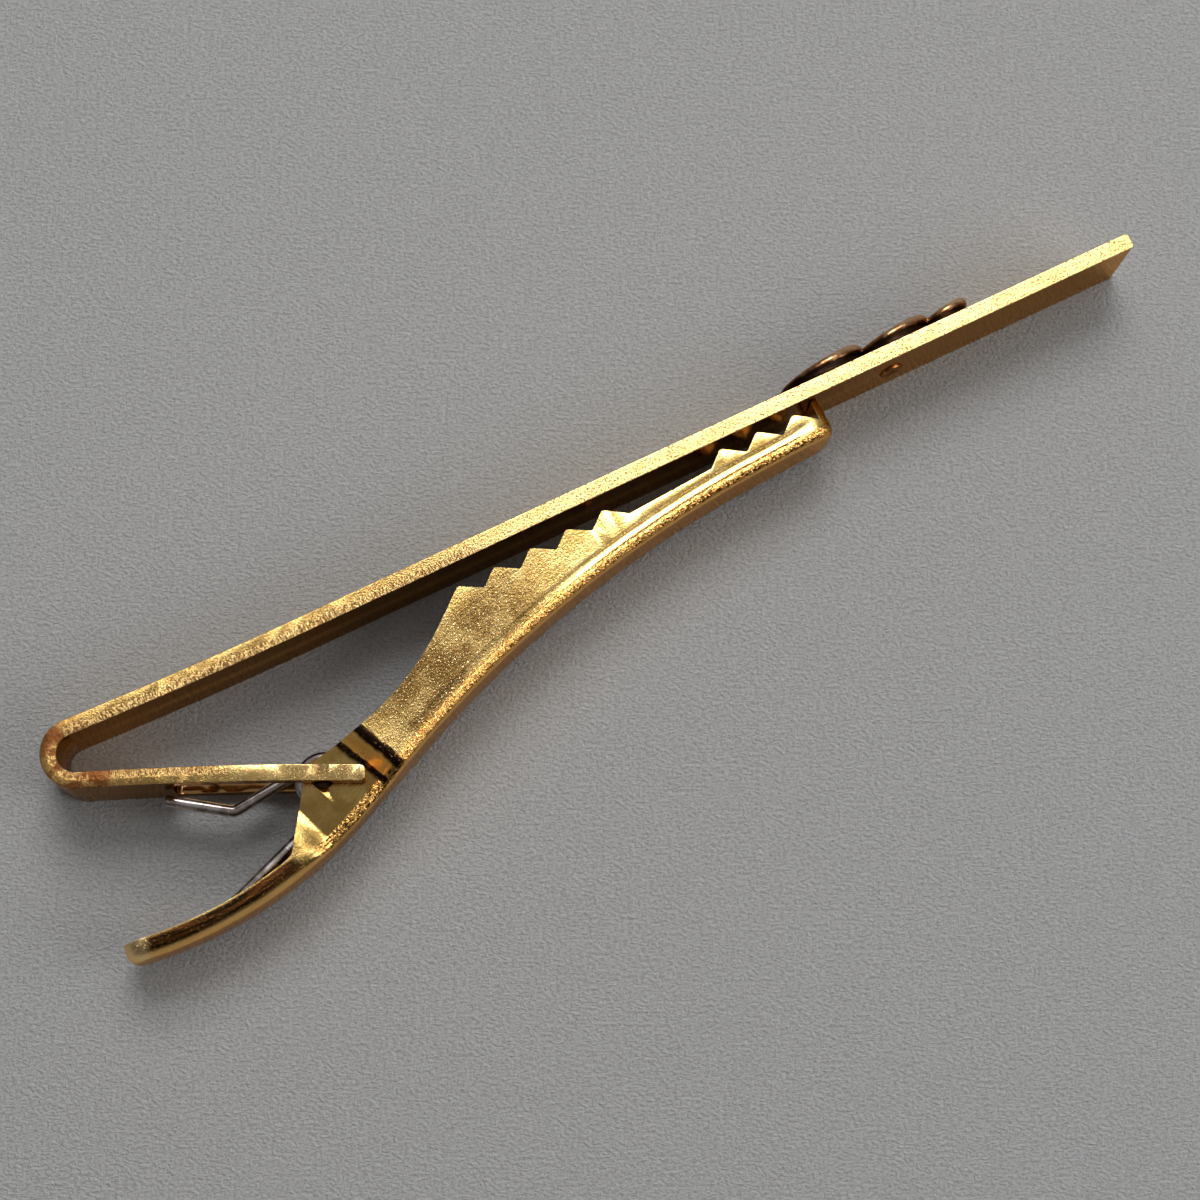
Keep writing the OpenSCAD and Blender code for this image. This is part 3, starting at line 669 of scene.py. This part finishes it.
noseAlong = bendAlong + jawRadius * radians(jawTurn)
backLength = noseAlong + toNose.length - bendHalf


# the back's line in the jaw's own frame; along is measured down the back from the tail's end
def backHeading(along):
    if along < pinAlong:
        return degrees((along - pinAlong) / lever["tailRadius"])
    return -max(0, min(jawTurn, degrees((along - bendAlong) / jawRadius)))


def backPoint(along):
    if along < pinAlong:
        tailCentre = Vector((0, lever["tailRadius"] - lever["backDrop"]))
        return tailCentre + lever["tailRadius"] * heading(backHeading(along) - 90)
    if along < bendAlong:
        return Vector((along - pinAlong, -lever["backDrop"]))
    if along < noseAlong:
        return jawCentre + jawRadius * heading(backHeading(along) + 90)
    return jawCentre + jawRadius * heading(90 - jawTurn) + (along - noseAlong) * heading(-jawTurn)


def leverFlow(point):  # along the back from the tail, depth from the back, height across
    p = turned(Vector((point[0], point[1])) - pinAt, -leverAngle)
    if p[0] < 0:
        off = p - Vector((0, lever["tailRadius"] - lever["backDrop"]))
        along = pinAlong + lever["tailRadius"] * atan2(off[0], -off[1])
        return (along, lever["tailRadius"] - off.length, point[2])
    if p[0] < lever["straight"]:
        return (pinAlong + p[0], p[1] + lever["backDrop"], point[2])
    off = p - jawCentre
    turn = atan2(off[0], off[1])
    if turn < radians(jawTurn):
        return (bendAlong + jawRadius * turn, off.length - jawRadius, point[2])
    off = p - backPoint(noseAlong)
    return (noseAlong + off.dot(heading(-jawTurn)), off.dot(heading(90 - jawTurn)), point[2])


def pinchShare(along):
    fromTail = (along - pinAlong + lever["waistTail"]) / lever["waistTailSlope"] + 1
    fromJaw = (pinAlong + lever["waistJaw"] - along) / lever["waistJawSlope"] + 1
    return (1 - cos(pi * max(0, min(1, fromTail, fromJaw)))) / 2


def endDip(depth, radius):
    return 0 if depth >= radius else radius - sqrt(max(0, radius * radius - (radius - depth) ** 2))


def bothDips(along, radius, inset):
    return endDip(along - inset, radius - inset) + endDip(backLength - inset - along, radius - inset)


def halfWidth(along, inset):
    pinch = (lever["width"] - lever["waistWidth"]) / 2 * pinchShare(along)
    return lever["width"] / 2 - inset - pinch - bothDips(along, lever["endRadius"], inset)


def leverStations(inset):
    waistLow, waistHigh = pinAlong - lever["waistTail"], pinAlong + lever["waistJaw"]
    low = lever["endRadius"]
    stretches = [(waistLow - lever["waistTailSlope"], 14), (waistLow, 12), (waistHigh, 8),
                 (waistHigh + lever["waistJawSlope"], 14), (noseAlong, 56), (backLength - low, 6)]
    stations = [inset + (low - inset) * (1 - cos(radians(90 * i / 8))) for i in range(9)]
    ending = [backLength - along for along in reversed(stations[:-1])]
    for high, steps in stretches:
        stations += [low + (high - low) * i / steps for i in range(1, steps + 1)]
        low = high
    return stations + ending


def leverSection(along, inset):
    half, pastPin = halfWidth(along, inset), along - pinAlong
    corner = lever["tailCorner"] + (lever["cornerRadius"] - lever["tailCorner"]) * eased(pastPin, -5, -2.5)
    corner += (lever["noseRadius"] - lever["cornerRadius"]) * eased(along, backLength - 2.5, backLength - 1)
    corner = max(0.06, min(corner - inset, half * 0.9))
    onJaw = 0 if inset else eased(backLength - along, 0.5, 2.5)
    dent = onJaw * (lever["hollow"] * eased(pastPin, 3, 6) + lever["groove"] * eased(pastPin, 14, 19))
    bead = lever["bead"] * onJaw * (1 - pinchShare(along)) * eased(pastPin, -4, -2)
    low = inset + bothDips(along, lever["noseRadius"], inset) + corner
    side = [(lever["wallReach"], half)]
    side += [(low + above, half - dent * share) for above, share in lever["grooveShape"]]
    for i in range(9):
        turn = radians(90 + 90 * i / 8)
        out = corner * sin(turn) + bead * sin(turn) ** 2
        side.append((low + corner * cos(turn), half - corner + out))
    return side + [(depth, -across) for depth, across in reversed(side)]


def leverLoft(inset):
    bm = bmesh.new()
    previous = None
    for along in leverStations(inset):
        ring = []
        for depth, across in leverSection(along, inset):
            point = pinAt + turned(backPoint(along) + depth * heading(backHeading(along) + 90), leverAngle)
            ring.append((*point, across))
        if previous is None:
            previous = [bm.verts.new(point) for point in ring]
            bm.faces.new(previous)
            continue
        loop = [bm.edges.get(pair) for pair in zip(previous, previous[1:] + previous[:1])]
        made = bmesh.ops.extrude_edge_only(bm, edges=loop)["geom"]
        fresh = {vert.co.copy().freeze(): vert for vert in made if isinstance(vert, bmesh.types.BMVert)}
        previous = [fresh[vert.co.copy().freeze()] for vert in previous]
        for vert, point in zip(previous, ring):
            vert.co = point
    bm.faces.new(list(reversed(previous)))
    bmesh.ops.recalc_face_normals(bm, faces=bm.faces)
    return asObject(bm, "loft")


def toothRow(last, slope, count):
    steep, halfTip = lever["pitch"] * lever["steepShare"], lever["pitch"] * lever["tipShare"] / 2
    foot, tipDrop = -lever["toothHeight"], 0.03
    points = []
    for i in range(count - 1, -1, -1):
        top = last - i * lever["pitch"] * heading(slope)
        if i < count - 1:  # the notch before the tooth, its corner a little eased
            points += [top + Vector((-halfTip - steep - 0.06, foot + 0.02)),
                       top + Vector((-halfTip - steep + 0.04, foot + 0.06))]
        points += [top - Vector((halfTip, tipDrop)), top, top + Vector((halfTip, -tipDrop))]
    points.append(last + Vector((lever["pitch"] - steep - halfTip, foot)))
    return points


def wallOutline():
    beyond, below = 0.5, -20  # the tool reaches past both ends and well under the back
    edgeRadius = lever["tailRadius"] - lever["tailHeight"]
    throat, throatRadius, ear = lever["throatAngle"], lever["throatRadius"], lever["earRadius"]
    throatTop = pinAt + (ear + throatRadius) * heading(throat + 90)
    off = throatTop - tailMid
    ahead, side = off.dot(heading(throat)), off.dot(heading(throat + 90))
    back = ahead + sqrt((edgeRadius - throatRadius) ** 2 - side ** 2)
    throatMid = throatTop - back * heading(throat)
    throatTail = degrees(atan2(throatMid[1] - tailMid[1], throatMid[0] - tailMid[0]))
    tailTip = -90 - degrees(asin((tailMid[0] - tailX + beyond) / edgeRadius))
    neck, ramp, rampRadius = lever["neckAngle"], lever["rampAngle"], lever["rampRadius"]
    rampMid = pinAt + (ear + rampRadius) * heading(neck + 90) + lever["neckLength"] * heading(neck)
    pitch, steepAndTip = lever["pitch"], lever["pitch"] * (lever["steepShare"] + lever["tipShare"] / 2)
    lipX = noseX - lever["sheet"] - lever["lipRoom"] - lever["backDrop"] * tan(radians(endAngle))
    frontTip = Vector((lipX - pitch * (1 - lever["steepShare"] - lever["tipShare"] / 2), -lever["frontGap"]))
    firstFront = frontTip - Vector(((lever["frontTeeth"] - 1) * pitch, 0))
    rearTip = Vector((pinAt[0] + lever["rearLast"], -lever["rearGap"]))
    points = arcPoints(tailMid, edgeRadius, tailTip, throatTail, 40)
    points += arcPoints(throatMid, throatRadius, throatTail, throat - 90, 10, True)
    points += arcPoints(pinAt, ear, throat + 90, neck + 90, 10)
    points += arcPoints(rampMid, rampRadius, neck - 90, ramp - 90, 16)
    points += toothRow(rearTip, lever["rearSlope"], lever["rearTeeth"])
    points.append(firstFront + Vector((-steepAndTip, -lever["toothHeight"])))
    points += toothRow(frontTip, 0, lever["frontTeeth"])
    points += [Vector((lipX, -lever["lipGap"])), Vector((noseX + beyond, -lever["lipGap"]))]
    return points + [Vector((noseX + beyond, below)), Vector((tailX - beyond, below))]


def makeLever():
    reach = 3  # the tools stand well out of both walls
    blank = booleaned(leverLoft(0), tool(prism, wallOutline(), -reach, reach), "INTERSECT")
    blank = booleaned(blank, leverLoft(lever["sheet"]))
    blank = booleaned(blank, tool(plainRod, lever["boreRadius"], -reach, reach, 48, lay=ontoPin))
    bm = takenUp(blank, 0.004)
    bmesh.ops.dissolve_limit(bm, angle_limit=radians(0.3), verts=bm.verts, edges=bm.edges)
    brokenEdges(bm, sharpEdges(bm, 50), lever["edgeBreak"])
    for i in range(1, 60):  # sliced so that the flow stays true along the walls
        along = backLength * i / 60
        slicedAt(bm, pinAt + turned(backPoint(along), leverAngle), heading(backHeading(along) + leverAngle))
    limit = cadBounds[0][0] / mm - shift[0]  # no further than the tail's end in the drawing
    for vert in bm.verts:
        vert.co.x = max(vert.co.x, limit)
    return finishPiece(bm, "toothedJaw", "jaw", jawGold, "jaw_lever", 30, leverFlow)


# spring: a torsion coil round the pin, one leg under the arm, one down the tail
spring = {"wire": 0.58, "coil": 1.17, "pitch": 0.95, "tailLegAngle": 20, "tailLeg": 7.9, "elbowBack": 4.6,
          "elbowUp": 0.68, "elbowRadius": 0.5, "legBack": 7.9, "legGap": 0.12, "pinBack": 1.8, "turns": 2,
          "coilSteps": 96, "endBreak": 0.04, "blendFrom": -6.35, "blendTo": -7.65}


def springPath():
    elbow = pinAt + Vector((-spring["elbowBack"], spring["elbowUp"]))
    off = pinAt - elbow
    legAngle = degrees(atan2(off[1], off[0]) + asin(spring["coil"] / off.length))
    seatBack = strip["armLength"] - spring["pinBack"] - spring["legBack"]
    seat = armPoint(seatBack, thick + spring["legGap"] + spring["wire"] / 2)
    seatAngle = degrees(atan2(seat[1] - elbow[1], seat[0] - elbow[0]))
    coilTurn = legAngle - spring["tailLegAngle"] - 180 + 360 * spring["turns"]
    height = spring["pitch"] * coilTurn / 360
    cut = spring["elbowRadius"] * tan(radians(legAngle + 180 - seatAngle) / 2)
    elbowMid = elbow + cut * heading(legAngle) + spring["elbowRadius"] * heading(legAngle + 90)
    low, high = -height / 2, height / 2
    steps = spring["coilSteps"]
    line = [(*seat, low), (*(seat + 0.5 * (elbow - seat).normalized()), low)]
    bend = arcPoints(elbowMid, spring["elbowRadius"], seatAngle + 90, legAngle + 270, 10)
    line += [(*point, low) for point in bend]
    for i in range(steps + 1):
        point = pinAt + spring["coil"] * heading(legAngle + 90 - coilTurn * i / steps)
        line.append((*point, low + height * i / steps))
    start = pinAt + spring["coil"] * heading(spring["tailLegAngle"] - 90)
    for distance in (0.6, 2.5, 5.0, spring["tailLeg"]):
        line.append((*(start + distance * heading(spring["tailLegAngle"] + 180)), high))
    return [Vector(point) for point in line]


def makeSpring():
    bm = bmesh.new()
    path = springPath()
    sweptTube(bm, path, [spring["wire"] / 2] * len(path))
    bmesh.ops.recalc_face_normals(bm, faces=bm.faces)
    brokenEdges(bm, sharpEdges(bm, 60), spring["endBreak"])
    lengths = [0.0]
    for first, second in zip(path, path[1:]):
        lengths.append(lengths[-1] + (second - first).length)

    def wireFlow(point):
        nearest = min(range(len(path)), key=lambda i: (path[i] - point).length_squared)
        return (lengths[nearest], point[0] - path[nearest][0], point[2] - path[nearest][2])

    piece = finishPiece(bm, "coiledSpring", None, wireSteel, "jaw_spring", 50, wireFlow)
    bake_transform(piece)
    return piece


# pin: a shouldered rod, its thin ends held in the prongs' blind holes
pin = {"body": 0.52, "shoulder": 0.95, "end": 0.17, "endReach": 2.0, "chamfer": 0.06}


def makePin():
    bm = bmesh.new()
    plainRod(bm, pin["body"], -pin["shoulder"], pin["shoulder"], 40)
    for face in [face for face in bm.faces if abs(face.normal[2]) > 0.9]:
        bmesh.ops.inset_individual(bm, faces=[face], thickness=pin["body"] - pin["end"], depth=0)
        made = bmesh.ops.extrude_discrete_faces(bm, faces=[face])["faces"][0]
        lift = (pin["endReach"] - pin["shoulder"]) * (1 if made.normal[2] > 0 else -1)
        bmesh.ops.translate(bm, vec=(0, 0, lift), verts=made.verts)
    bmesh.ops.remove_doubles(bm, verts=bm.verts, dist=0.001)
    brokenEdges(bm, sharpEdges(bm, 60), pin["chamfer"])
    bmesh.ops.transform(bm, matrix=ontoPin, verts=bm.verts)
    return finishPiece(bm, "shoulderedPin", "clip", pinInPaintedShade, "pivot_pin")


# ornament: three leaning scrolls on a low stem, cast in one with the peened stud
ornament = {"voxel": 0.055, "smoothing": 4, "high": 0.774, "squash": 0.86, "web": 0.4,
            "stemRadius": 0.3, "stemRise": 0.28, "stemFrom": -5.1, "stemTo": 3.7,
            "foot": 0.26, "footRise": 0.16, "rimSteps": 44, "innerSteps": 24, "innerTurn": 265,
            "innerWire": 0.22, "eye": 0.24, "bud": 0.17,
            "stud": 0.5, "peenRadius": 0.64, "peenRise": 0.15, "crater": 0.17}
scrolls = [{"x": -3.3, "radius": 2.16, "turns": (24, 344), "low": 0.4, "wire": (0.25, 0.36), "curl": 0.06},
           {"x": 0.72, "radius": 1.85, "turns": (-176, 144), "low": 0.42, "wire": (0.27, 0.36), "curl": 0.08},
           {"x": 3.72, "radius": 1.14, "turns": (-160, 165), "low": 0.44, "wire": (0.25, 0.34), "curl": 0.1}]


def scrollLine(scroll):
    line, radii = [], []
    steps, inner = ornament["rimSteps"], ornament["innerSteps"]
    (start, end), (thin, fat) = scroll["turns"], scroll["wire"]
    for i in range(steps + inner + 1):
        share, within = min(1, i / steps), max(0, (i - steps) / inner)  # round the rim, then on into the eye
        turn = radians(start + (end - start) * share + ornament["innerTurn"] * within)
        nearEnd = max(1 - eased(share, 0, 0.22), eased(share, 0.78, 1))
        reach = scroll["radius"] * (1 - scroll["curl"] * nearEnd) * (1 - (1 - ornament["eye"]) * within)
        lean = (1 + cos(turn)) / 2  # a scroll stands highest on its side towards the tip
        height = scroll["low"] + (ornament["high"] - scroll["low"]) * lean
        line.append(Vector((strip["studX"] + scroll["x"] + reach * cos(turn), thick + height,
                            -reach * sin(turn) * ornament["squash"])))
        wire = thin + (fat - thin) * (0.55 * lean + 0.45 * nearEnd)
        radii.append(wire + (ornament["innerWire"] - wire) * eased(within, 0, 0.5))
    return line, radii


def peenedStud(bm):  # spun about its own axis: a hollow-middled ring behind the bar, the stud through it
    reach, rise, crater = ornament["peenRadius"], ornament["peenRise"], ornament["crater"]
    top = thick + 0.2  # ends inside the web
    profile = [(0, crater - rise), (0.16, crater * 0.8 - rise), (0.3, -rise * 0.75), (0.42, -rise),
               (0.53, -rise * 0.92), (reach, -rise * 0.45), (reach, 0),
               (ornament["stud"], 0), (ornament["stud"], top), (0, top)]
    verts = [bm.verts.new((strip["studX"] + out, height, 0)) for out, height in profile]
    edges = [bm.edges.new(pair) for pair in zip(verts, verts[1:])]
    bmesh.ops.spin(bm, geom=verts + edges, cent=(strip["studX"], 0, 0), axis=(0, 1, 0), dvec=(0, 0, 0),
                   angle=radians(360), steps=40, use_merge=True, use_duplicate=False)
    bmesh.ops.remove_doubles(bm, verts=bm.verts, dist=0.0005)
    bmesh.ops.recalc_face_normals(bm, faces=bm.faces)


def makeOrnament():
    bm = bmesh.new()
    for scroll in scrolls:
        line, radii = scrollLine(scroll)
        sweptTube(bm, line, radii, 14, Vector((0, 1, 0)))
        rim = [Vector((x, thick + ornament["footRise"], z)) for x, y, z in line[:ornament["rimSteps"] + 1]]
        sweptTube(bm, rim, [ornament["foot"]] * len(rim), 10, Vector((0, 1, 0)))
        lay = Matrix.Translation((strip["studX"] + scroll["x"], thick, 0)) @ rotation(-90, "X")
        bmesh.ops.create_cone(bm, cap_ends=True, segments=48, radius1=scroll["radius"],
                              radius2=scroll["radius"] * 0.9, depth=ornament["web"] * 2,
                              matrix=lay @ Matrix.Diagonal((1, ornament["squash"], 1, 1)))
        for point, radius in ((line[0], radii[0] * 1.12), (line[-1], ornament["bud"] * scroll["radius"])):
            bmesh.ops.create_uvsphere(bm, u_segments=20, v_segments=12, radius=radius,
                                      matrix=Matrix.Translation(point))
    stemX = [strip["studX"] + ornament["stemFrom"], strip["studX"] + ornament["stemTo"]]
    stemY = thick + ornament["stemRise"]
    stem = [Vector((stemX[0] + (stemX[1] - stemX[0]) * i / 12, stemY, 0)) for i in range(13)]
    sweptTube(bm, stem, [ornament["stemRadius"]] * len(stem), 12)
    bmesh.ops.recalc_face_normals(bm, faces=bm.faces)
    blank = asObject(bm, "castBlank")
    fused = blank.modifiers.new("fused", "REMESH")
    fused.mode = "VOXEL"
    fused.voxel_size = ornament["voxel"]
    polish = blank.modifiers.new("polish", "SMOOTH")
    polish.factor = 0.5
    polish.iterations = ornament["smoothing"]
    bm = takenUp(applied(blank), 0.0005)
    slicedAt(bm, (0, thick + 0.004), (0, 1), True)  # flat where it lies on the bar
    bmesh.ops.holes_fill(bm, edges=[edge for edge in bm.edges if edge.is_boundary], sides=0)
    peenedStud(bm)
    return finishPiece(bm, "castScrolls", "clip", copperCast, "ornament", 80)


stripGold = makeStripGold()
jawGold = makeJawGold()
wireSteel = makeWireSteel()
pinInPaintedShade = makePinBrass()
copperCast = makeCopperCast()
print("finishes mixed")
foldedStrip = makeStrip()
print("strip folded", len(foldedStrip.data.polygons))
toothedJaw = makeLever()
print("jaw stamped", len(toothedJaw.data.polygons))
coiledSpring = makeSpring()
print("spring wound", len(coiledSpring.data.polygons))
shoulderedPin = makePin()
castScrolls = makeOrnament()
print("ornament cast", len(castScrolls.data.polygons))

# tabletop: a pale, finely wrinkled skin with a soft sheen
table = {"size": 12.0, "colour": (0.44, 0.437, 0.434), "low": (0.367, 0.363, 0.358), "roughness": 0.23,
         "wrinkle": (5600.0, 4.0, 0.66, 0.2), "height": 0.27, "lie": -26, "stretch": (1.25, 0.9, 1.0)}


def makeTable():
    bm = bmesh.new()
    bmesh.ops.create_grid(bm, x_segments=1, y_segments=1, size=table["size"] / 2)
    floor = asObject(bm, "tabletop")
    material = bpy.data.materials.new("tableSkin")
    material.use_nodes = True
    tree = material.node_tree
    shader = tree.nodes["Principled BSDF"]
    shader.inputs["Roughness"].default_value = table["roughness"]
    turn = (0, 0, radians(table["lie"]))
    lie = nodeAt(tree, "ShaderNodeMapping", vector_type="TEXTURE", Rotation=turn, Scale=table["stretch"])
    link(tree, nodeAt(tree, "ShaderNodeTexCoord").outputs["Object"], lie.inputs[0])
    wrinkle = grain(tree, lie.outputs[0], *table["wrinkle"])
    colour = mixed(tree, band(tree, wrinkle, 0.38, 0.58), table["low"], table["colour"])
    dressed(tree, shader, colour, wrinkle, table["height"])
    floor.data.materials.append(material)


makeTable()

# camera where the photograph was taken from, worked out from the clip's own edges
# width and focal length in pixels, turns in degrees about X, Y and Z, the rest in mm
photo = {"width": 1200, "focal": 2744.53, "turns": (-11.44875, 2.39392, 25.98577),
         "away": (-27.22724, -8.47933, -137.11582), "origin": (0.12, 0, -2.5)}


def makeCamera():
    data = bpy.data.cameras.new("camera")
    camera = placed("camera", data)
    data.sensor_width = 36
    data.sensor_fit = "HORIZONTAL"
    data.lens = data.sensor_width * photo["focal"] / photo["width"]
    data.clip_start = 0.001
    data.clip_end = 10
    turnX, turnY, turnZ = [rotation(turn, axis) for turn, axis in zip(photo["turns"], "XYZ")]
    facing = (turnX @ turnY @ turnZ).to_3x3().transposed()
    place = (facing @ -Vector(photo["away"]) + Vector(photo["origin"]) + shift) * mm
    camera.matrix_world = Matrix.Translation(place) @ facing.to_4x4()
    bpy.context.scene.camera = camera


makeCamera()

# light: a window behind the bar, a soft panel over its right half, a fill beyond the jaw, a dim room
lamps = {"window": {"power": 1.45, "size": 0.24, "at": (0.10, 0.265, 0.415)},
         "panel": {"power": 0.33, "size": 0.3, "at": (0.2, 0.1, 0.4)},
         "fill": {"power": 1.5, "size": 0.36, "at": (0.42, -0.3, 0.36)}}
room = {"bright": 0.34, "dim": 0.08, "brightTowards": (0.48, 0.5, 0.72), "spread": (-0.2, 0.8)}


def makeRoom():
    world = bpy.data.worlds.new("studio")
    bpy.context.scene.world = world
    world.use_nodes = True
    tree = world.node_tree
    towards = nodeAt(tree, "ShaderNodeVectorMath", operation="DOT_PRODUCT")
    link(tree, nodeAt(tree, "ShaderNodeTexCoord").outputs["Generated"], towards.inputs[0])
    towards.inputs[1].default_value = room["brightTowards"]
    share = band(tree, towards.outputs["Value"], *room["spread"])
    colour = mixed(tree, share, (room["dim"],) * 3, (room["bright"],) * 3)
    link(tree, colour, tree.nodes["Background"].inputs["Color"])


def makeLamp(name, lamp):
    data = bpy.data.lights.new(name, "AREA")
    data.shape = "SQUARE"
    data.size = lamp["size"]
    data.energy = lamp["power"]
    made = placed(name, data)
    made.location = lamp["at"]
    made.rotation_euler = (-Vector(lamp["at"])).to_track_quat("-Z", "Y").to_euler()


makeRoom()
for name, lamp in lamps.items():
    makeLamp(name, lamp)
bpy.context.scene.view_settings.view_transform = "Standard"
print("stage set")
